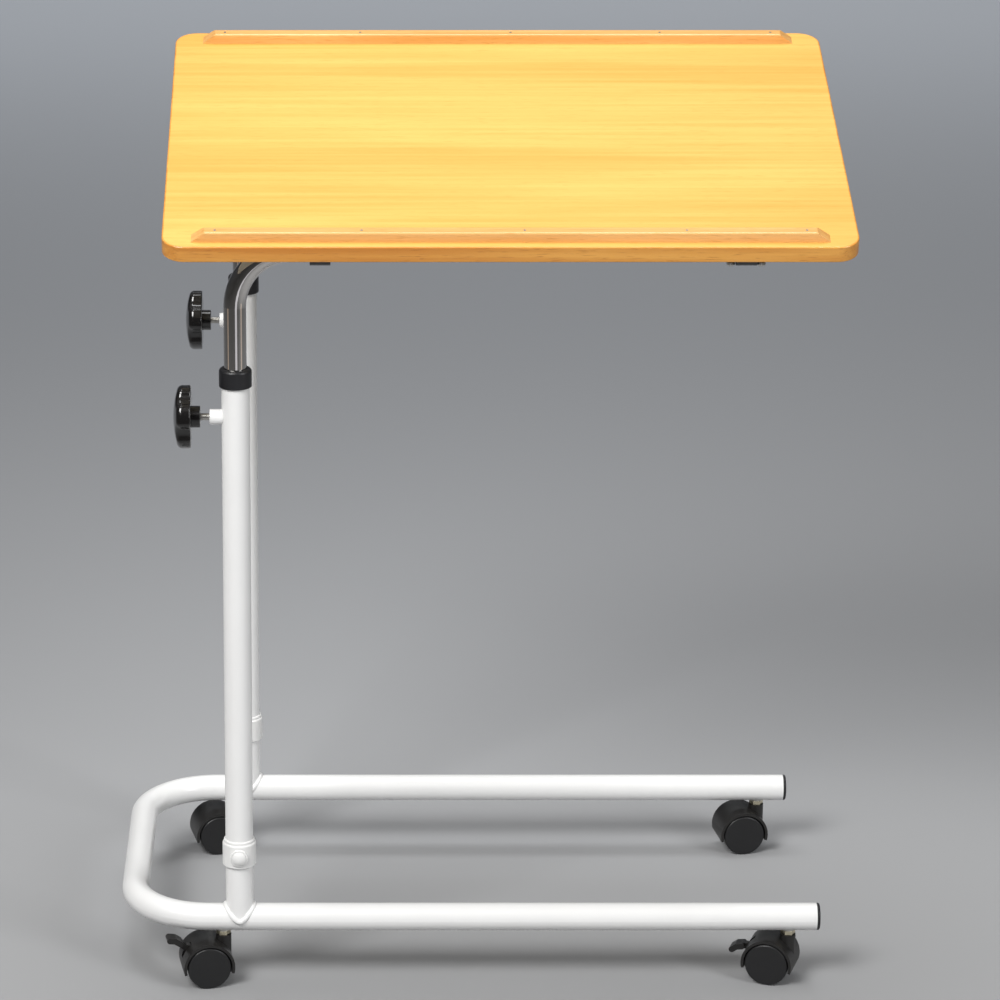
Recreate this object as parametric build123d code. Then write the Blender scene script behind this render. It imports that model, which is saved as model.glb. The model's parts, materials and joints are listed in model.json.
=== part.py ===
from build123d import *
import math
import os

# Overbed table. A 600 x 400 top tilts on two telescopic columns that stand on a U-shaped castor base.
# Millimetres. X runs along the top, Y from front to rear, Z up from the floor.

os.makedirs("parts", exist_ok=True)

# Top
board_length = 600.0
board_depth = 400.0
board_thickness = 15.0
board_corner = 20.0
edge_thickness = 1.5
edge_arris = 1.2
laminate_thickness = 0.8
lip_length = 549.0
lip_width = 13.5
lip_height = 8.4
lip_setback = 8.5
lip_draft = 1.2
lip_end_slope = 11.5
lip_round = 1.8
pin_radius = 1.2
pin_places = (46.0, 172.0, 312.0, 451.0, 554.0)

# Tubes
tube_radius = 12.5
tube_wall = 1.5
column_radius = 10.0
column_wall = 1.5
bore_radius = tube_radius - tube_wall
slide_gap = 0.05

# Castors
wheel_radius = 20.0
wheel_width = 14.0
wheel_round = 2.0
trail = 15.5
web_thickness = 10.0
wheel_side_gap = 0.3
hood_gap = 1.0
hood_wall = 2.5
hood_inner = wheel_radius + hood_gap
hood_outer = hood_inner + hood_wall
hood_boss_rise = 2.8
hood_front_angle = -15.0
hood_rear_angle = 193.0
axle_radius = 2.5
axle_boss = 6.0
axle_end_gap = 2.5
web_bite = 0.5
stem_left = -15.2
stem_right = 501.5
flange_flats = 11.5
flange_height = 3.9
hood_boss_radius = 7.2
stem_gap = 0.3
pin_stem_radius = 3.0
pin_stem_rise = 7.5
pin_stem_low = wheel_radius + pin_stem_rise
stem_thread_radius = 4.0
stem_thread_length = 15.0
socket_radius = 6.0
lever_width = 6.0
lever_head_width = 12.0
lever_side_gap = 0.3
lever_depth = 5.06
lever_angle = math.radians(130.6)
lever_pivot = (
    (hood_outer - lever_depth) * math.cos(lever_angle),
    (hood_outer - lever_depth) * math.sin(lever_angle),
)


def from_pivot(out, up):
    return (lever_pivot[0] - out, lever_pivot[1] + up)


lever_pin_radius = 1.5
lever_pin_reach = 4.4
lever_pin_end_gap = 0.2
lever_boss_wall = 0.6
lever_slot_centre = from_pivot(5.7, -2.1)
lever_slot_size = (19.0, 13.0)
lever_press = 45.0
lever_neck = (lever_pivot, from_pivot(8.0, 1.5), from_pivot(13.0, 6.5))
lever_head = (lever_neck[-1], from_pivot(17.5, 9.5), from_pivot(22.5, 10.2))
lever_radii = (2.8, 2.7)
castor_turns = {"front_left": 9.6, "front_right": -18.0, "rear_left": 12.5, "rear_right": 9.0}

# Base frame
leg_spacing = 310.0
leg_bottom = wheel_radius + hood_outer + hood_boss_rise + stem_gap + flange_height
leg_axis_height = leg_bottom + tube_radius
left_run = 98.4
right_run = 527.0
frame_bend = 70.0
plug_head = 2.8
plug_round = 1.7
plug_depth = 12.0

# Posts
collar_rise = 52.7
collar_length = 25.3
collar_low = leg_axis_height + collar_rise
collar_high = collar_low + collar_length
collar_radius = 15.25
collar_neck_radius = 14.0
collar_neck = 2.6
collar_round = 1.8
collar_bevel = 1.0
collar_neck_round = 0.9
collar_lap = 1.5
joint_height = collar_low + collar_lap
spigot_length = 70.0
spigot_bore = 9.0
post_rise = 520.0
post_top = leg_axis_height + post_rise
cap_skirt = 13.7
cap_lid = 3.0
cap_low = post_top - cap_skirt
cap_high = post_top + cap_lid
cap_radius = 14.45
cap_sleeve = 24.0
cap_round = 3.0
cap_bevel = 0.6
mouth_flare = 0.6
mouth_depth = 0.6
fit_gap = 0.02
cut_margin = 1.0

# Snap buttons
button_rise = 11.1
button_height = collar_low + button_rise
button_radius = 6.5
button_rim = 15.8
button_face = 17.3
button_top = 19.6
button_shaft = 4.1
button_foot_radius = 5.0
button_foot_low = 5.6
button_foot_high = 7.1
bezel_radius = 8.2
bezel_out = 16.6
bezel_bevel = 0.6
button_gap = 0.2

# Clamps
knob_drop = 41.8
knob_height = post_top - knob_drop
boss_radius = 6.9
boss_length = 10.4
screw_radius = 3.0
screw_reach = 8.1
screw_tip_gap = 0.3
screw_grip = 12.0
screw_bevel = 0.8
boss_round = 0.8
hub_radius = 9.65
hub_length = 8.0
knob_radius = 28.0
knob_depth = 15.8
knob_lobes = 5
scallop_radius = 11.0
scallop_centre = 34.5
knob_dome = 90.0
lobe_round = 5.0
knob_face_round = 5.0
knob_back_round = 1.5
hub_bevel = 0.5

# Columns
column_showing = 108.9
arm_height = post_top + column_showing
column_bend = 50.0
arm_length = 476.0
foot_length = 16.0
foot_bevel = 0.8
drop_travel = 50.0
foot_clearance = 7.7
column_foot_height = joint_height + spigot_length + drop_travel + foot_length + foot_clearance
stop_place = 444.0
stop_spread = 13.3
stop_head_radius = 3.7
stop_head_height = 3.6
stop_shank_radius = 2.0
stop_shank_length = 8.0
head_crown = 0.55

# Tilt and saddles
tilt = 15.2
tilt_travel = 18.0
board_overhang = 61.8
board_front_offset = 39.5
arm_to_board = 11.0
saddle_width = 18.0
saddle_wall = 2.8
saddle_flange = 14.0
saddle_flange_thickness = 3.0
saddle_left = 74.4
saddle_screw_shift = 0.5
slot_margin = 1.0
slot_drop = 1.3
wood_screw_radius = 1.95
wood_screw_length = 11.0
wood_screw_head_radius = 3.6
wood_screw_head_height = 2.4

CENTRED = (Align.CENTER, Align.CENTER, Align.MIN)

# Placement: the origin lies on the floor under the middle of the whole table
tilt_sin = math.sin(math.radians(tilt))
tilt_cos = math.cos(math.radians(tilt))
post_x = -(board_length - board_overhang - left_run - tube_radius) / 2
board_low_y = -board_front_offset * tilt_cos - (arm_to_board + board_thickness) * tilt_sin
board_high_y = (board_depth - board_front_offset) * tilt_cos - arm_to_board * tilt_sin
front_y = -(board_low_y + board_high_y) / 2
rear_y = front_y + leg_spacing
rear_rise = leg_spacing * math.tan(math.radians(tilt))
rear_arm_height = arm_height + rear_rise
sides = {"front": (front_y, -1, arm_height), "rear": (rear_y, 1, rear_arm_height)}


def upright(radius, low, high, x=0.0, y=0.0):
    """Cylinder standing between two heights."""
    return Pos(x, y, low) * Cylinder(radius, high - low, align=CENTRED)


def along_x(radius, low, high, y=0.0, z=0.0):
    """Cylinder lying along X between two places."""
    return Pos(low, y, z) * Rot(0, 90, 0) * Cylinder(radius, high - low, align=CENTRED)


def along_y(radius, low, high, x=0.0, z=0.0):
    """Cylinder lying along Y between two places."""
    return Pos(x, low, z) * Rot(-90, 0, 0) * Cylinder(radius, high - low, align=CENTRED)


def bent_tube(points, bend, radius, wall):
    """Round tube bent along a line of points."""
    path = FilletPolyline(*points, radius=bend)
    start = Plane(origin=path @ 0, z_dir=path % 0)
    skin = sweep(start * Circle(radius), path=path)
    return skin - sweep(start * Circle(radius - wall), path=path)


def side_plate(outline, width):
    """Outline in X and Z made into a plate of this width about the middle plane."""
    face = Plane.XZ * make_face(Polyline(*outline, close=True))
    return extrude(face, amount=width / 2, both=True)


def link(start, end, radius, width):
    """Round-ended bar between two points in X and Z."""
    run = math.hypot(end[0] - start[0], end[1] - start[1])
    turn = math.degrees(math.atan2(end[1] - start[1], end[0] - start[0]))
    middle = Pos((start[0] + end[0]) / 2, (start[1] + end[1]) / 2)
    slot = Plane.XZ * middle * Rot(0, 0, turn) * SlotCenterToCenter(run, 2 * radius)
    return extrude(slot, amount=width / 2, both=True)


def pan_head(radius, height):
    """Round screw head whose bearing face lies at zero and whose crown points down."""
    head = Pos(0, 0, -height) * Cylinder(radius, height, align=CENTRED)
    return fillet(head.edges().group_by(Axis.Z)[0], height * head_crown)


# ---------------------------------------------------------------- base frame
def base_frame():
    left = post_x - left_run
    right = post_x + right_run
    corners = [(right, front_y), (left, front_y), (left, rear_y), (right, rear_y)]
    points = [(x, y, leg_axis_height) for x, y in corners]
    frame = bent_tube(points, frame_bend, tube_radius, tube_wall)
    for x, y in stem_places.values():
        frame -= upright(socket_radius, leg_bottom - cut_margin, leg_axis_height, x, y)
    return frame


def leg_plugs():
    right = post_x + right_run
    plugs = []
    for y in (front_y, rear_y):
        head = along_x(tube_radius, right, right + plug_head, y, leg_axis_height)
        head = fillet(head.edges().group_by(Axis.X)[-1], plug_round)
        stub = along_x(bore_radius, right - plug_depth, right, y, leg_axis_height)
        hollow_radius = bore_radius - tube_wall
        hollow = along_x(hollow_radius, right - plug_depth, right - plug_head, y, leg_axis_height)
        plugs.append(head + (stub - hollow))
    return Compound(children=plugs)


def post_stub(y, out):
    outer = upright(tube_radius, leg_axis_height, joint_height, post_x, y)
    spigot = upright(bore_radius - slide_gap, joint_height, joint_height + spigot_length, post_x, y)
    bore = upright(spigot_bore, leg_axis_height, joint_height + spigot_length, post_x, y)
    stub = outer + spigot - bore
    stub -= along_x(tube_radius, post_x - 2 * tube_radius, post_x + 2 * tube_radius, y, leg_axis_height)
    return stub - button_way(y, out)


def button_way(y, out):
    """Hole for the snap button's shaft through one wall of a post."""
    hole = upright(button_shaft + slide_gap, 0, collar_radius + tube_radius)
    return Pos(post_x, y, button_height) * Rot(-90 * out, 0, 0) * hole


def post_tube(y, out):
    tube = upright(tube_radius, joint_height, post_top, post_x, y)
    tube -= upright(bore_radius, joint_height, post_top, post_x, y)
    tube -= along_x(screw_radius + slide_gap, post_x - 2 * tube_radius, post_x, y, knob_height)
    return tube - button_way(y, out)


def post_collar(y, out):
    body = upright(collar_radius, collar_low, collar_high - collar_neck)
    body = fillet(body.edges().group_by(Axis.Z)[-1], collar_round)
    body = chamfer(body.edges().group_by(Axis.Z)[0], collar_bevel)
    neck = upright(collar_neck_radius, collar_high - 2 * collar_neck, collar_high)
    neck = fillet(neck.edges().group_by(Axis.Z)[-1], collar_neck_round)
    bezel = upright(bezel_radius, 0, bezel_out)
    bezel = chamfer(bezel.edges().group_by(Axis.Z)[-1], bezel_bevel)
    facing = Pos(0, 0, button_height) * Rot(-90 * out, 0, 0)
    recess = facing * upright(button_radius + button_gap, 0, 2 * collar_radius)
    sleeve = body + neck + facing * bezel - recess
    sleeve -= upright(tube_radius + fit_gap, collar_low - cut_margin, collar_high + cut_margin)
    return Pos(post_x, y, 0) * sleeve


def snap_button(y, out):
    head = upright(button_radius, button_rim, button_face)
    rise = button_top - button_face
    ball = (button_radius**2 + rise**2) / (2 * rise)
    crown = upright(button_radius, button_face, button_top)
    dome = Pos(0, 0, button_top - ball) * Sphere(ball) & crown
    shaft = upright(button_shaft, button_foot_low, button_rim)
    foot = upright(button_foot_radius, button_foot_low, button_foot_high)
    return Pos(post_x, y, button_height) * Rot(-90 * out, 0, 0) * (head + dome + shaft + foot)


def post_cap(y):
    cap = upright(cap_radius, cap_low, cap_high)
    cap = fillet(cap.edges().group_by(Axis.Z)[-1], cap_round)
    cap = fillet(cap.edges().group_by(Axis.Z)[0], cap_bevel)
    cap -= upright(tube_radius + fit_gap, cap_low - cut_margin, post_top)
    cap += upright(bore_radius - fit_gap, post_top - cap_sleeve, post_top)
    mouth = Pos(0, 0, cap_high) * Cone(column_radius, column_radius + mouth_flare, mouth_depth)
    low = post_top - cap_sleeve - cut_margin
    cap -= upright(column_radius + slide_gap, low, cap_high + cut_margin) + mouth
    return Pos(post_x, y, 0) * cap


def clamp_boss(y):
    start = post_x - tube_radius
    boss = along_x(boss_radius, start - boss_length, post_x, y, knob_height)
    boss = fillet(boss.edges().group_by(Axis.X)[0], boss_round)
    reach = 2 * boss_radius
    boss -= upright(tube_radius, knob_height - reach, knob_height + reach, post_x, y)
    return boss - along_x(screw_radius + slide_gap, start - 2 * boss_length, post_x, y, knob_height)


def clamp_screw(y):
    hub_end = post_x - tube_radius - boss_length - screw_reach
    tip = post_x - column_radius - screw_tip_gap
    screw = along_x(screw_radius, hub_end - screw_grip, tip, y, knob_height)
    return chamfer(screw.edges().group_by(Axis.X)[-1], screw_bevel)


def knob(y):
    top = hub_length + knob_depth
    head = upright(knob_radius, hub_length, top)
    for lobe in range(knob_lobes):
        scallop = upright(scallop_radius, hub_length, top, scallop_centre)
        head -= Rot(0, 0, (lobe + 0.5) * 360 / knob_lobes) * scallop
    head = fillet(head.edges().filter_by(Axis.Z), lobe_round)
    head &= Pos(0, 0, top - knob_dome) * Sphere(knob_dome)
    head = fillet(head.faces().sort_by(Axis.Z)[-1].edges(), knob_face_round)
    head = fillet(head.faces().sort_by(Axis.Z)[0].edges(), knob_back_round)
    hub = upright(hub_radius, 0, hub_length)
    hub = chamfer(hub.edges().group_by(Axis.Z)[0], hub_bevel)
    body = head + hub - upright(screw_radius, 0, screw_grip)
    hub_end = post_x - tube_radius - boss_length - screw_reach
    return Pos(hub_end, y, knob_height) * Rot(0, -90, 0) * body


# ------------------------------------------------------------------- columns
def column(y, height):
    foot = column_foot_height + height - arm_height
    end = post_x + arm_length
    points = [(post_x, y, foot), (post_x, y, height), (end, y, height)]
    tube = bent_tube(points, column_bend, column_radius, column_wall)
    for x in (stop_place - stop_spread, stop_place + stop_spread):
        tube -= upright(stop_shank_radius, height - 2 * column_radius, height, post_x + x, y)
    return tube


def column_foot(y, height):
    top = column_foot_height + height - arm_height
    guide = upright(bore_radius - slide_gap, top - foot_length, top, post_x, y)
    guide = chamfer(guide.edges().group_by(Axis.Z)[0], foot_bevel)
    plug = upright(column_radius - column_wall, top, top + foot_length, post_x, y)
    return guide + plug


def column_plug(y, height):
    end = post_x + arm_length
    head = along_x(column_radius, end, end + plug_head, y, height)
    head = fillet(head.edges().group_by(Axis.X)[-1], plug_round)
    return head + along_x(column_radius - column_wall, end - plug_depth, end, y, height)


def stop_screws(y, height):
    screws = []
    for x in (stop_place - stop_spread, stop_place + stop_spread):
        seat = height - column_radius
        head = Pos(post_x + x, y, seat) * pan_head(stop_head_radius, stop_head_height)
        shank = upright(stop_shank_radius, seat, seat + stop_shank_length, post_x + x, y)
        dent = along_x(column_radius, post_x + x - column_radius, post_x + x + column_radius, y, height)
        screws.append(head - dent + shank)
    return Compound(children=screws)


# ----------------------------------------------------------------------- top
def on_board(shape):
    """Board frame to table frame: zero on the front arm's axis under the left board end, tilted."""
    return Pos(post_x, front_y, arm_height) * Rot(tilt, 0, 0) * shape


def slab(low, high, inset):
    """Rounded sheet as large as the board less an inset, between two heights over the arm."""
    sheet = RectangleRounded(board_length - 2 * inset, board_depth - 2 * inset, board_corner - inset)
    middle = (board_length / 2 - board_overhang, board_depth / 2 - board_front_offset)
    return Pos(middle[0], middle[1], low) * extrude(sheet, amount=high - low)


board_low = arm_to_board
board_high = arm_to_board + board_thickness


def edge_band():
    band = slab(board_low, board_high, 0)
    band = fillet(band.edges().group_by(Axis.Z)[-1], edge_arris)
    band = fillet(band.edges().group_by(Axis.Z)[0], edge_arris)
    return on_board(band - slab(board_low - cut_margin, board_high + cut_margin, edge_thickness))


def drilled(sheet):
    """Sheet less the pilot holes of the saddle screws."""
    for x, y in screw_places:
        sheet -= upright(wood_screw_radius, board_low - cut_margin, board_low + wood_screw_length, x, y)
    return sheet


def board_core():
    low = board_low + laminate_thickness
    return on_board(drilled(slab(low, board_high - laminate_thickness, edge_thickness)))


def top_laminate():
    return on_board(slab(board_high - laminate_thickness, board_high, edge_thickness))


def backing_laminate():
    return on_board(drilled(slab(board_low, board_low + laminate_thickness, edge_thickness)))


def lip(from_front):
    """Retaining strip with sloped faces and sloped ends, set back from the front or the rear edge."""
    base = Rectangle(lip_length, lip_width)
    crest = Rectangle(lip_length - 2 * lip_end_slope, lip_width - 2 * lip_draft)
    strip = loft([base, Pos(0, 0, lip_height) * crest])
    strip = fillet(strip.edges().group_by(Axis.Z)[-1], lip_round)
    place = Pos(board_length / 2 - board_overhang, lip_line(from_front), board_high)
    strip = place * strip
    for x in pin_places:
        top = board_high + 2 * lip_height
        strip -= upright(pin_radius, board_high, top, x - board_overhang, lip_line(from_front))
    return on_board(strip)


def lip_line(from_front):
    """Distance of a lip's middle line from the front arm's axis."""
    inset = lip_setback + lip_width / 2
    return (inset if from_front else board_depth - inset) - board_front_offset


def lip_pins():
    pins = []
    for from_front in (True, False):
        for x in pin_places:
            top = board_high + lip_height
            pins.append(upright(pin_radius, board_high, top, x - board_overhang, lip_line(from_front)))
    return on_board(Compound(children=pins))


slot_start = leg_spacing
slot_end = leg_spacing / math.cos(math.radians(tilt_travel))
saddle_bores = {
    "front": (-column_radius - slide_gap, column_radius + slide_gap, column_radius + slide_gap),
    "rear": (slot_start - column_radius - slot_margin, slot_end + column_radius + slot_margin,
             column_radius + slot_drop),
}
saddle_ends = {"left": saddle_left, "right": stop_place}
flange_reach = saddle_wall + saddle_flange / 2 + saddle_screw_shift
screw_places = [
    (x, y)
    for x in saddle_ends.values()
    for low, high, drop in saddle_bores.values()
    for y in (low - flange_reach, high + flange_reach)
]


def saddle(bore, x):
    """Strap that carries the board on an arm: open to the board, with a screwed flange on each side."""
    low, high, drop = bore
    width = high - low
    middle = (low + high) / 2
    corner = column_radius if width > 2.1 * column_radius else width / 2 - 0.001
    tall = drop + arm_to_board
    outer_corner = corner + saddle_wall

    def channel(half, floor, round_off):
        """Upright channel outline seen along X, from its floor up to the board."""
        shape = Rectangle(2 * half, 2 * (floor + arm_to_board))
        shape = fillet(shape.vertices().group_by(Axis.Y)[0], round_off)
        shape = Pos(0, arm_to_board) * shape
        return shape & Pos(0, (arm_to_board - floor) / 2) * Rectangle(4 * half, floor + arm_to_board)

    outside = channel(width / 2 + saddle_wall, drop + saddle_wall, min(outer_corner, tall))
    inside = channel(width / 2, drop, min(corner, tall))
    flange_half = width / 2 + saddle_wall + saddle_flange
    flange = Rectangle(2 * flange_half, saddle_flange_thickness)
    flange = Pos(0, arm_to_board - saddle_flange_thickness / 2) * flange
    section = outside + flange - inside
    strap = Pos(x, middle, 0) * extrude(Plane.YZ * section, amount=saddle_width / 2, both=True)
    for place in (low - flange_reach, high + flange_reach):
        strap -= upright(wood_screw_radius, board_low - 2 * saddle_flange_thickness, board_low, x, place)
    return on_board(strap)


def saddle_screws():
    screws = []
    seat = board_low - saddle_flange_thickness
    for x, y in screw_places:
        head = Pos(x, y, seat) * pan_head(wood_screw_head_radius, wood_screw_head_height)
        screws.append(head + upright(wood_screw_radius, seat, board_low + wood_screw_length, x, y))
    return on_board(Compound(children=screws))


# ------------------------------------------------------------------- castors
stem_places = {
    "front_left": (post_x + stem_left, front_y),
    "front_right": (post_x + stem_right, front_y),
    "rear_left": (post_x + stem_left, rear_y),
    "rear_right": (post_x + stem_right, rear_y),
}
wheel_inner = web_thickness / 2 + wheel_side_gap
wheel_outer = wheel_inner + wheel_width
hood_top = leg_bottom - flange_height - stem_gap


def castor_sockets():
    sockets = []
    for x, y in stem_places.values():
        sleeve = upright(socket_radius, leg_bottom, leg_bottom + stem_thread_length, x, y)
        bore = upright(stem_thread_radius, leg_bottom, leg_bottom + stem_thread_length, x, y)
        sockets.append(sleeve - bore)
    return Compound(children=sockets)


def castor_stems():
    stems = []
    for x, y in stem_places.values():
        hexagon = RegularPolygon(flange_flats / 2, 6, major_radius=False)
        flange = Pos(x, y, leg_bottom - flange_height) * extrude(hexagon, amount=flange_height)
        thread = upright(stem_thread_radius, leg_bottom, leg_bottom + stem_thread_length, x, y)
        pin = upright(pin_stem_radius, pin_stem_low, leg_bottom - flange_height, x, y)
        stems.append(flange + thread + pin)
    return Compound(children=stems)


def on_castor(corner, shape):
    """Castor frame to table frame: zero on the floor under the stem, wheels trailing to -X."""
    x, y = stem_places[corner]
    return Pos(x, y, 0) * Rot(0, 0, castor_turns[corner]) * shape


def about_axle(shape):
    """Axle frame to castor frame."""
    return Pos(-trail, 0, wheel_radius) * shape


def castor_hood(corner, braked):
    reach = 3 * hood_outer
    front = math.radians(hood_front_angle)
    rear = math.radians(hood_rear_angle)
    below = [
        (0, 0),
        (reach * math.cos(front), reach * math.sin(front)),
        (reach * math.cos(front), -reach),
        (reach * math.cos(rear), -reach),
        (reach * math.cos(rear), reach * math.sin(rear)),
    ]
    opening = side_plate(below, 4 * wheel_outer)
    wheel_space = along_y(hood_inner, -2 * wheel_outer, 2 * wheel_outer)
    shell = along_y(hood_outer, -wheel_outer, wheel_outer) - wheel_space
    neck = upright(hood_boss_radius, 0, hood_top - wheel_radius, trail) - wheel_space
    web = along_y(hood_inner + web_bite, -web_thickness / 2, web_thickness / 2)
    hood = shell + neck + web - opening
    hood += along_y(axle_boss, -web_thickness / 2, web_thickness / 2)
    hood -= along_y(axle_radius, -web_thickness, web_thickness)
    pin_low = pin_stem_low - stem_gap - wheel_radius
    hood -= upright(pin_stem_radius + slide_gap, pin_low, 2 * hood_outer, trail)
    if braked:
        slot = Box(lever_slot_size[0], lever_width + 2 * lever_side_gap, lever_slot_size[1])
        hood -= Pos(lever_slot_centre[0], 0, lever_slot_centre[1]) * slot
        pin_reach = lever_pin_reach + lever_pin_end_gap
        hood -= along_y(lever_pin_radius + slide_gap, -pin_reach, pin_reach, *lever_pivot)
    return on_castor(corner, about_axle(hood))


def castor_axle(corner):
    half = wheel_outer - axle_end_gap
    return on_castor(corner, about_axle(along_y(axle_radius, -half, half)))


def castor_wheel(corner, side):
    """Solid wheel with a rounded tread and a plain face; side is -1 or 1 along the axle."""
    wheel = upright(wheel_radius, wheel_inner, wheel_outer)
    wheel = fillet(wheel.edges().group_by(Axis.Z)[-1], wheel_round)
    wheel = fillet(wheel.edges().group_by(Axis.Z)[0], wheel_round / 2)
    wheel -= upright(axle_radius + slide_gap, 0, wheel_outer - axle_end_gap + stem_gap)
    return on_castor(corner, about_axle(Rot(-90 * side, 0, 0) * wheel))


def brake_lever(corner, turn):
    """Foot lever: a blade in the hood's slot, hooked out into a broad pad, pressed down by a turn."""
    blade = along_y(lever_radii[1] + lever_boss_wall, -lever_width / 2, lever_width / 2, *lever_pivot)
    for start, end in zip(lever_neck, lever_neck[1:]):
        blade += link(start, end, lever_radii[0], lever_width)
    for start, end in zip(lever_head, lever_head[1:]):
        blade += link(start, end, lever_radii[1], lever_head_width)
    blade += along_y(lever_pin_radius, -lever_pin_reach, lever_pin_reach, *lever_pivot)
    pivot = Pos(lever_pivot[0], 0, lever_pivot[1])
    turned = pivot * Rot(0, -turn, 0) * pivot.inverse() * blade
    return on_castor(corner, about_axle(turned))


# --------------------------------------------------------------------- parts
parts = {
    "base_frame": base_frame(),
    "leg_plugs": leg_plugs(),
    "castor_sockets": castor_sockets(),
    "castor_stems": castor_stems(),
    "edge_band": edge_band(),
    "board_core": board_core(),
    "top_laminate": top_laminate(),
    "backing_laminate": backing_laminate(),
    "lip_front": lip(True),
    "lip_rear": lip(False),
    "lip_pins": lip_pins(),
    "saddle_screws": saddle_screws(),
}
for side, (y, out, height) in sides.items():
    parts[f"post_stub_{side}"] = post_stub(y, out)
    parts[f"post_tube_{side}"] = post_tube(y, out)
    parts[f"post_collar_{side}"] = post_collar(y, out)
    parts[f"snap_button_{side}"] = snap_button(y, out)
    parts[f"post_cap_{side}"] = post_cap(y)
    parts[f"clamp_boss_{side}"] = clamp_boss(y)
    parts[f"clamp_screw_{side}"] = clamp_screw(y)
    parts[f"knob_{side}"] = knob(y)
    parts[f"column_{side}"] = column(y, height)
    parts[f"column_foot_{side}"] = column_foot(y, height)
    parts[f"column_plug_{side}"] = column_plug(y, height)
    parts[f"stop_screws_{side}"] = stop_screws(y, height)
    for end, x in saddle_ends.items():
        parts[f"saddle_{side}_{end}"] = saddle(saddle_bores[side], x)
for corner in castor_turns:
    braked = corner.startswith("front")
    parts[f"castor_hood_{corner}"] = castor_hood(corner, braked)
    parts[f"castor_axle_{corner}"] = castor_axle(corner)
    parts[f"wheel_near_{corner}"] = castor_wheel(corner, -1)
    parts[f"wheel_far_{corner}"] = castor_wheel(corner, 1)
parts["brake_lever_left"] = brake_lever("front_left", 0.0)
parts["brake_lever_right"] = brake_lever("front_right", lever_press)

for name, shape in parts.items():
    shape.label = name
    export_step(shape, f"parts/{name}.step")
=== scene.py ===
import json
import math
import bpy
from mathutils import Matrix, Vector


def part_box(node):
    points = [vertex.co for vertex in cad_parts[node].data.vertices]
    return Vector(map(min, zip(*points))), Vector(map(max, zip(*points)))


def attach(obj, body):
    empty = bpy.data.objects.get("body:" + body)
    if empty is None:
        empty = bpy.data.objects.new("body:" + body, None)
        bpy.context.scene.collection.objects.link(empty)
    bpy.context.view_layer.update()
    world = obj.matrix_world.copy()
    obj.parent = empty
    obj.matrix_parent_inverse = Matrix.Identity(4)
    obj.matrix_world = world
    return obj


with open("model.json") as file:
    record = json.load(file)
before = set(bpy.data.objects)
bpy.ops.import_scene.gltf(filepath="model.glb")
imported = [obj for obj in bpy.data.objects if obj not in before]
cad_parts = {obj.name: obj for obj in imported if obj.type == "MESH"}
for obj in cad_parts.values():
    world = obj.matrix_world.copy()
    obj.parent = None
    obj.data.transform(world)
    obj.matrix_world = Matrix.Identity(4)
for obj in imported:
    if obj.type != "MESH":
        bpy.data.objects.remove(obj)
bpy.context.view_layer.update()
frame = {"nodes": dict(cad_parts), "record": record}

bpy.ops.object.select_all(action="DESELECT")

sides = ("front", "rear")

# Sizes taken from the frame, in metres
stub_low, stub_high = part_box("post_stub_front")
tube_radius = (stub_high.x - stub_low.x) / 2
post_x = (stub_high.x + stub_low.x) / 2
leg_low, leg_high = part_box("base_frame")
leg_height = (leg_low.z + leg_high.z) / 2
post_y = {side: sum((corner.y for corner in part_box(f"post_stub_{side}")), 0.0) / 2
          for side in sides}

# Angles
tilt = math.radians(15.2)          # of the top at rest
smooth_angle = math.radians(35.0)  # edges sharper than this stay crisp

# Weld beads and screw threads, in metres
bead_radius = 0.0026
bead_standoff = 0.0002
bead_roundness = 1.65              # 1 is the true saddle, more rounds off its lowest points
bead_points = 96
bead_resolution = 4
thread_pitch = 0.0010
thread_depth = 0.0003
thread_corners = 4
thread_steps = 24

# Stage and camera, in metres unless a line says otherwise
floor_size = 15.0
wall_height = 6.0
cove_radius = 2.0
cove_segments = 20
camera_place = (-0.1185, -3.6343, 1.6212)
camera_down = 18.37                # degrees below level
camera_lens = 149.5                # millimetres
camera_sensor = 36.0               # millimetres
camera_shift = 0.156               # of the sensor's width


# ------------------------------------------------------------- node groups
def new_group(name, inputs, outputs):
    """Empty shader group with these sockets, its two ends and its nodes."""
    group = bpy.data.node_groups.new(name, "ShaderNodeTree")
    for socket, kind, value in inputs:
        made = group.interface.new_socket(name=socket, in_out="INPUT", socket_type=kind)
        if value is not None:
            made.default_value = value
    for socket, kind in outputs:
        group.interface.new_socket(name=socket, in_out="OUTPUT", socket_type=kind)
    start = group.nodes.new("NodeGroupInput")
    end = group.nodes.new("NodeGroupOutput")
    return group, start, end


def mix_colour(nodes, links, amount, first, second):
    """Mix of two colours; each may be a socket or a plain colour."""
    mix = nodes.new("ShaderNodeMix")
    mix.data_type = "RGBA"
    links.new(amount, mix.inputs["Factor"])
    for name, value in (("A", first), ("B", second)):
        socket = [s for s in mix.inputs if s.name == name and s.type == "RGBA"][0]
        if isinstance(value, bpy.types.NodeSocket):
            links.new(value, socket)
        else:
            socket.default_value = (*value, 1.0)
    return [s for s in mix.outputs if s.type == "RGBA"][0]


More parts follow.
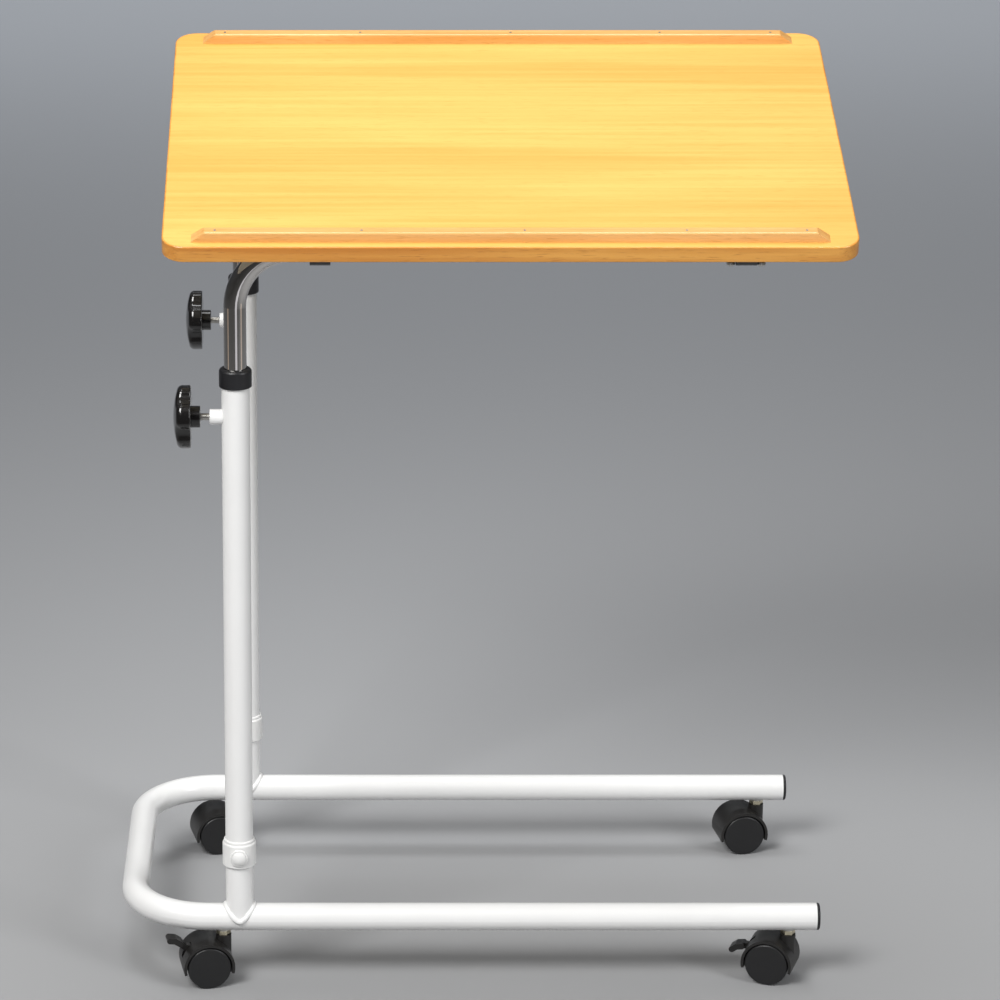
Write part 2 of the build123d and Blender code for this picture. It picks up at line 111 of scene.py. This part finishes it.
def build_mottle():
    """Slow cloudy change of shade with fine specks, as moulded or sprayed surfaces have."""
    group, start, end = new_group(
        "mottle",
        [("Vector", "NodeSocketVector", None), ("Cloud Scale", "NodeSocketFloat", 25.0),
         ("Grain Scale", "NodeSocketFloat", 1500.0), ("Colour A", "NodeSocketColor", None),
         ("Colour B", "NodeSocketColor", None), ("Smooth", "NodeSocketFloat", 0.3),
         ("Rough", "NodeSocketFloat", 0.5)],
        [("Colour", "NodeSocketColor"), ("Roughness", "NodeSocketFloat"),
         ("Height", "NodeSocketFloat")])
    nodes, links = group.nodes, group.links
    cloud = nodes.new("ShaderNodeTexNoise")
    cloud.inputs["Detail"].default_value = 4.0
    grain = nodes.new("ShaderNodeTexNoise")
    grain.inputs["Detail"].default_value = 3.0
    for node, scale in ((cloud, "Cloud Scale"), (grain, "Grain Scale")):
        links.new(start.outputs["Vector"], node.inputs["Vector"])
        links.new(start.outputs[scale], node.inputs["Scale"])
    colour = mix_colour(nodes, links, cloud.outputs["Fac"],
                        start.outputs["Colour A"], start.outputs["Colour B"])
    spread = nodes.new("ShaderNodeMapRange")
    links.new(cloud.outputs["Fac"], spread.inputs["Value"])
    links.new(start.outputs["Smooth"], spread.inputs["To Min"])
    links.new(start.outputs["Rough"], spread.inputs["To Max"])
    links.new(colour, end.inputs["Colour"])
    links.new(spread.outputs["Result"], end.inputs["Roughness"])
    links.new(grain.outputs["Fac"], end.inputs["Height"])
    return group


def build_wood_grain():
    """Straight grain that runs along X, with broad figure, fine streaks and short pores."""
    group, start, end = new_group(
        "wood grain",
        [("Vector", "NodeSocketVector", None), ("Figure Scale", "NodeSocketFloat", 12.0),
         ("Light", "NodeSocketColor", None), ("Dark", "NodeSocketColor", None),
         ("Pore", "NodeSocketColor", None), ("Pore Amount", "NodeSocketFloat", 0.3)],
        [("Colour", "NodeSocketColor"), ("Height", "NodeSocketFloat")])
    nodes, links = group.nodes, group.links

    fine_share = 0.9
    contrast_low, contrast_high = 0.72, 1.18
    pore_low, pore_high = 0.58, 0.72

    def streaks(stretch, scale, detail):
        """Noise drawn out along X."""
        mapping = nodes.new("ShaderNodeMapping")
        mapping.inputs["Scale"].default_value = (stretch, 1.0, 1.0)
        links.new(start.outputs["Vector"], mapping.inputs["Vector"])
        noise = nodes.new("ShaderNodeTexNoise")
        noise.inputs["Detail"].default_value = detail
        noise.inputs["Distortion"].default_value = 0.3
        if isinstance(scale, bpy.types.NodeSocket):
            links.new(scale, noise.inputs["Scale"])
        else:
            noise.inputs["Scale"].default_value = scale
        links.new(mapping.outputs["Vector"], noise.inputs["Vector"])
        return noise.outputs["Fac"]

    figure = streaks(0.12, start.outputs["Figure Scale"], 3.0)
    fine = streaks(0.018, 170.0, 6.0)
    pores = streaks(0.07, 900.0, 2.0)
    share = nodes.new("ShaderNodeMath")
    share.operation = "MULTIPLY"
    share.inputs[1].default_value = fine_share
    blend = nodes.new("ShaderNodeMath")
    blend.operation = "ADD"
    links.new(fine, share.inputs[0])
    links.new(figure, blend.inputs[0])
    links.new(share.outputs["Value"], blend.inputs[1])
    contrast = nodes.new("ShaderNodeMapRange")
    contrast.inputs["From Min"].default_value = contrast_low
    contrast.inputs["From Max"].default_value = contrast_high
    links.new(blend.outputs["Value"], contrast.inputs["Value"])
    base = mix_colour(nodes, links, contrast.outputs["Result"],
                      start.outputs["Light"], start.outputs["Dark"])
    sharp = nodes.new("ShaderNodeMapRange")
    sharp.inputs["From Min"].default_value = pore_low
    sharp.inputs["From Max"].default_value = pore_high
    links.new(pores, sharp.inputs["Value"])
    amount = nodes.new("ShaderNodeMath")
    amount.operation = "MULTIPLY"
    links.new(sharp.outputs["Result"], amount.inputs[0])
    links.new(start.outputs["Pore Amount"], amount.inputs[1])
    colour = mix_colour(nodes, links, amount.outputs["Value"], base, start.outputs["Pore"])
    links.new(colour, end.inputs["Colour"])
    links.new(fine, end.inputs["Height"])
    return group


mottle = build_mottle()
wood_grain = build_wood_grain()


# --------------------------------------------------------------- materials
def new_material(name):
    """Material with its shader, and a point in space to hang patterns on."""
    made = bpy.data.materials.new(name)
    made.use_nodes = True
    nodes, links = made.node_tree.nodes, made.node_tree.links
    return made, nodes, links, nodes["Principled BSDF"], nodes.new("ShaderNodeTexCoord")


def add_bump(nodes, links, height, shader, distance):
    """Relief of this depth in metres, at full strength."""
    bump = nodes.new("ShaderNodeBump")
    bump.inputs["Distance"].default_value = distance
    bump.inputs["Strength"].default_value = 1.0
    links.new(height, bump.inputs["Height"])
    links.new(bump.outputs["Normal"], shader.inputs["Normal"])


def surface(name, first, second, smooth, rough, metal=0.0, coat=0.0, clouds=25.0,
            grain=1500.0, relief=0.00002):
    """Painted, moulded or plated finish."""
    made, nodes, links, shader, place = new_material(name)
    body = nodes.new("ShaderNodeGroup")
    body.node_tree = mottle
    body.inputs["Cloud Scale"].default_value = clouds
    body.inputs["Grain Scale"].default_value = grain
    body.inputs["Colour A"].default_value = (*first, 1.0)
    body.inputs["Colour B"].default_value = (*second, 1.0)
    body.inputs["Smooth"].default_value = smooth
    body.inputs["Rough"].default_value = rough
    links.new(place.outputs["Object"], body.inputs["Vector"])
    links.new(body.outputs["Colour"], shader.inputs["Base Color"])
    links.new(body.outputs["Roughness"], shader.inputs["Roughness"])
    add_bump(nodes, links, body.outputs["Height"], shader, relief)
    shader.inputs["Metallic"].default_value = metal
    shader.inputs["Coat Weight"].default_value = coat
    return made


def timber(name, light, dark, pore, figure, pores, roughness, coat=0.0, relief=0.00002):
    """Wood or printed laminate, its grain laid in the plane of the tilted top."""
    made, nodes, links, shader, place = new_material(name)
    level = nodes.new("ShaderNodeMapping")
    level.inputs["Rotation"].default_value = (-tilt, 0.0, 0.0)
    links.new(place.outputs["Object"], level.inputs["Vector"])
    body = nodes.new("ShaderNodeGroup")
    body.node_tree = wood_grain
    body.inputs["Figure Scale"].default_value = figure
    body.inputs["Light"].default_value = (*light, 1.0)
    body.inputs["Dark"].default_value = (*dark, 1.0)
    body.inputs["Pore"].default_value = (*pore, 1.0)
    body.inputs["Pore Amount"].default_value = pores
    links.new(level.outputs["Vector"], body.inputs["Vector"])
    links.new(body.outputs["Colour"], shader.inputs["Base Color"])
    add_bump(nodes, links, body.outputs["Height"], shader, relief)
    shader.inputs["Roughness"].default_value = roughness
    shader.inputs["Coat Weight"].default_value = coat
    return made


finishes = {
    "white_paint": surface("white powder coat", (0.90, 0.90, 0.895), (0.85, 0.85, 0.845),
                           smooth=0.28, rough=0.36, coat=0.25, grain=1100.0),
    "white_plastic": surface("white moulded plastic", (0.89, 0.89, 0.88), (0.84, 0.84, 0.83),
                             smooth=0.34, rough=0.42),
    "chrome": surface("polished chrome", (0.70, 0.68, 0.66), (0.62, 0.60, 0.58),
                      smooth=0.02, rough=0.05, metal=1.0, relief=0.000001),
    "black_plastic": surface("black moulded plastic", (0.009, 0.009, 0.011),
                             (0.015, 0.015, 0.017), smooth=0.34, rough=0.46),
    "knob_black": surface("glossy black knob", (0.006, 0.006, 0.006), (0.010, 0.009, 0.009),
                          smooth=0.10, rough=0.18, coat=0.4, relief=0.000005),
    "zinc_steel": surface("zinc plated steel", (0.62, 0.61, 0.58), (0.48, 0.47, 0.45),
                          smooth=0.22, rough=0.38, metal=1.0, clouds=120.0),
    "castor_metal": surface("yellow zinc steel", (0.74, 0.68, 0.50), (0.60, 0.55, 0.42),
                            smooth=0.20, rough=0.36, metal=1.0, clouds=120.0),
    "chipboard": surface("pressed wood chips", (0.60, 0.44, 0.27), (0.42, 0.29, 0.16),
                         smooth=0.70, rough=0.90, clouds=350.0, relief=0.0002),
    "maple_laminate": timber("maple laminate", (0.84, 0.465, 0.107), (0.75, 0.365, 0.062),
                             (0.62, 0.29, 0.04), figure=16.0, pores=0.4, roughness=0.58),
    "backing": timber("backing sheet", (0.74, 0.66, 0.50), (0.68, 0.60, 0.45),
                      (0.60, 0.52, 0.38), figure=10.0, pores=0.15, roughness=0.60),
    "edge_wood": timber("wood edge band", (0.86, 0.42, 0.085), (0.66, 0.25, 0.035),
                        (0.42, 0.14, 0.02), figure=30.0, pores=0.5, roughness=0.28, coat=0.3),
    "beech": timber("lacquered beech", (0.83, 0.47, 0.165), (0.66, 0.32, 0.08),
                    (0.50, 0.22, 0.04), figure=26.0, pores=0.5, roughness=0.30, coat=0.3),
    "castor_black": surface("black nylon", (0.010, 0.0095, 0.009), (0.016, 0.015, 0.014),
                            smooth=0.36, rough=0.48, relief=0.00003),
    "axle_steel": surface("plain steel", (0.56, 0.55, 0.54), (0.44, 0.43, 0.42),
                          smooth=0.30, rough=0.45, metal=1.0, clouds=120.0),
    "wheel_black": surface("black wheel nylon", (0.008, 0.008, 0.0085), (0.013, 0.013, 0.014),
                           smooth=0.34, rough=0.46, relief=0.00003),
}


def paint(piece, slot):
    """Gives a piece one finish all over."""
    piece.data.materials.clear()
    piece.data.materials.append(finishes[slot])


for entry in frame["record"]["subparts"]:
    paint(frame["nodes"][entry["node"]], entry["material_slot"])


# ----------------------------------------------------------------- modelling
def settle(name, slot, body):
    """Finishes the active object: applies its place, names, smooths, paints and hangs it."""
    piece = bpy.context.object
    bpy.ops.object.transform_apply(location=True, rotation=True, scale=True)
    bpy.ops.object.shade_smooth_by_angle(angle=smooth_angle)
    piece.name = name
    piece.data.name = name
    paint(piece, slot)
    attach(piece, body)
    bpy.ops.object.select_all(action="DESELECT")
    return piece


def weld_bead(side):
    """Bead round the saddle where a post stub meets its leg, rounded off under the post."""
    ring = tube_radius + bead_standoff
    bpy.ops.mesh.primitive_circle_add(vertices=bead_points, radius=ring)
    for vertex in bpy.context.object.data.vertices:
        vertex.co.z = tube_radius * (abs(vertex.co.x) / ring) ** bead_roundness
    bpy.ops.object.convert(target="CURVE")
    wire = bpy.context.object.data
    wire.bevel_depth = bead_radius
    wire.bevel_resolution = bead_resolution
    bpy.ops.object.convert(target="MESH")
    piece = bpy.context.object
    bpy.ops.object.mode_set(mode="EDIT")
    bpy.ops.mesh.select_all(action="SELECT")
    bpy.ops.mesh.remove_doubles(threshold=0.00001)
    bpy.ops.mesh.normals_make_consistent(inside=False)
    bpy.ops.object.mode_set(mode="OBJECT")
    piece.location = (post_x, post_y[side], leg_height)
    return settle(f"weld_bead_{side}", "white_paint", "base")


def screw_thread(side):
    """Rolled thread on the bare length of a clamp screw, between the knob and the boss."""
    low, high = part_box(f"clamp_screw_{side}")
    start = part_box(f"knob_{side}")[1].x - thread_pitch
    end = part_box(f"clamp_boss_{side}")[0].x + thread_pitch
    turns = math.ceil((end - start) / thread_pitch)
    radius = min(high.y - low.y, high.z - low.z) / 2
    bpy.ops.mesh.primitive_circle_add(vertices=thread_corners, radius=thread_depth,
                                      location=(0.0, 0.0, radius), rotation=(math.pi / 2, 0.0, 0.0))
    bpy.ops.object.transform_apply(location=True, rotation=True, scale=True)
    piece = bpy.context.object
    coil = piece.modifiers.new("thread", "SCREW")
    coil.axis = "X"
    coil.screw_offset = thread_pitch
    coil.iterations = turns
    coil.steps = coil.render_steps = thread_steps
    bpy.ops.object.modifier_apply(modifier=coil.name)
    bpy.ops.object.mode_set(mode="EDIT")
    bpy.ops.mesh.select_mode(type="EDGE")
    bpy.ops.mesh.select_all(action="DESELECT")
    bpy.ops.mesh.select_non_manifold()
    bpy.ops.mesh.fill_holes(sides=0)
    bpy.ops.mesh.select_all(action="SELECT")
    bpy.ops.mesh.normals_make_consistent(inside=False)
    bpy.ops.object.mode_set(mode="OBJECT")
    piece.location = (start, (low.y + high.y) / 2, (low.z + high.z) / 2)
    return settle(f"screw_thread_{side}", "zinc_steel", f"knob_{side}")


for side in sides:
    weld_bead(side)
    screw_thread(side)


# --------------------------------------------------------------------- stage
def stage_material(name, near, shaded_far, roughness):
    """Matt grey with painted shade: slightly darker and bluer from the front of the floor to the
    back.
    """
    made, nodes, links, shader, place = new_material(name)
    # The second colour is painted shade: the floor turns darker and bluer towards the back, as
    # though the lamps' light fell off there.
    near_end, far_end = -0.4, 2.2
    split = nodes.new("ShaderNodeSeparateXYZ")
    depth = nodes.new("ShaderNodeMapRange")
    depth.inputs["From Min"].default_value = near_end
    depth.inputs["From Max"].default_value = far_end
    links.new(place.outputs["Object"], split.inputs["Vector"])
    links.new(split.outputs["Y"], depth.inputs["Value"])
    links.new(mix_colour(nodes, links, depth.outputs["Result"], near, shaded_far),
              shader.inputs["Base Color"])
    shader.inputs["Roughness"].default_value = roughness
    return made


def add_stage():
    """Floor that curves up into plain walls, well clear of the table on every side; its material
    paints a slight shade towards the back.
    """
    bpy.ops.mesh.primitive_plane_add(size=floor_size, location=(0.0, 0.0, 0.0))
    floor = bpy.context.object
    floor.name = "floor"
    bpy.ops.object.mode_set(mode="EDIT")
    bpy.ops.mesh.select_mode(type="EDGE")
    bpy.ops.mesh.select_all(action="SELECT")
    bpy.ops.mesh.extrude_edges_move(TRANSFORM_OT_translate={"value": (0.0, 0.0, wall_height)})
    bpy.ops.object.mode_set(mode="OBJECT")
    cove = floor.modifiers.new("cove", "BEVEL")
    cove.width = cove_radius
    cove.segments = cove_segments
    cove.limit_method = "ANGLE"
    bpy.ops.object.modifier_apply(modifier=cove.name)
    bpy.ops.object.shade_smooth()
    # Floor material with painted shade, darker towards the back.
    floor.data.materials.append(
        stage_material("floor with painted shade at the back", (0.35, 0.352, 0.357), (0.33, 0.34, 0.36), 0.85))
    bpy.ops.object.select_all(action="DESELECT")


def add_light(name, place, aim, size, power, colour, beam=180.0):
    """Soft rectangular lamp; a beam under 180 degrees keeps its light near its aim."""
    bpy.ops.object.light_add(type="AREA", location=place)
    lamp = bpy.context.object
    lamp.name = name
    lamp.data.shape = "RECTANGLE"
    lamp.data.size, lamp.data.size_y = size
    lamp.data.energy = power
    lamp.data.color = colour
    lamp.data.spread = math.radians(beam)
    lamp.rotation_euler = (Vector(aim) - Vector(place)).to_track_quat("-Z", "Y").to_euler()
    lamp.visible_camera = False


def add_low_strip(name, angle, width, power, colour):
    """Low lamp on the floor round the front post, that lays a streak along the bright columns."""
    reach, height, depth = 1.6, 0.15, 0.26
    turn = math.radians(angle)
    place = (post_x + reach * math.sin(turn), post_y["front"] - reach * math.cos(turn), height)
    add_light(name, place, (post_x, post_y["front"], height), (width, depth), power, colour)


add_stage()
add_light("key", (-1.4, -2.0, 2.6), (0.0, 0.0, 0.4), (1.4, 1.4), 19.0, (1.0, 0.995, 0.985), 75.0)
add_light("fill", (2.2, -1.8, 1.8), (0.0, 0.0, 0.4), (0.9, 1.8), 8.5, (0.98, 0.99, 1.0), 80.0)
add_light("overhead", (0.0, 0.4, 3.0), (0.0, 0.0, 0.0), (1.6, 1.2), 15.0, (0.98, 0.99, 1.0), 110.0)
add_light("backdrop", (0.0, 4.4, 2.6), (0.0, 4.8, 0.0), (6.0, 1.0), 78.0, (0.92, 0.96, 1.0), 150.0)
add_low_strip("strip_centre", 13.0, 0.55, 0.30, (0.94, 0.93, 1.0))
add_low_strip("strip_right", 68.0, 0.36, 0.11, (1.0, 0.78, 0.58))
add_low_strip("strip_left", -72.0, 0.30, 0.09, (1.0, 0.74, 0.52))

world = bpy.data.worlds.new("studio")
bpy.context.scene.world = world
world.use_nodes = True
sky = world.node_tree.nodes["Background"]
sky.inputs["Color"].default_value = (0.62, 0.60, 0.58, 1.0)
sky.inputs["Strength"].default_value = 0.38
bpy.context.scene.view_settings.view_transform = "Standard"

bpy.ops.object.camera_add(location=camera_place,
                          rotation=(math.radians(90.0 - camera_down), 0.0, 0.0))
camera = bpy.context.object
camera.name = "camera"
camera.data.lens = camera_lens
camera.data.sensor_width = camera_sensor
camera.data.shift_x = camera_shift
bpy.context.scene.camera = camera
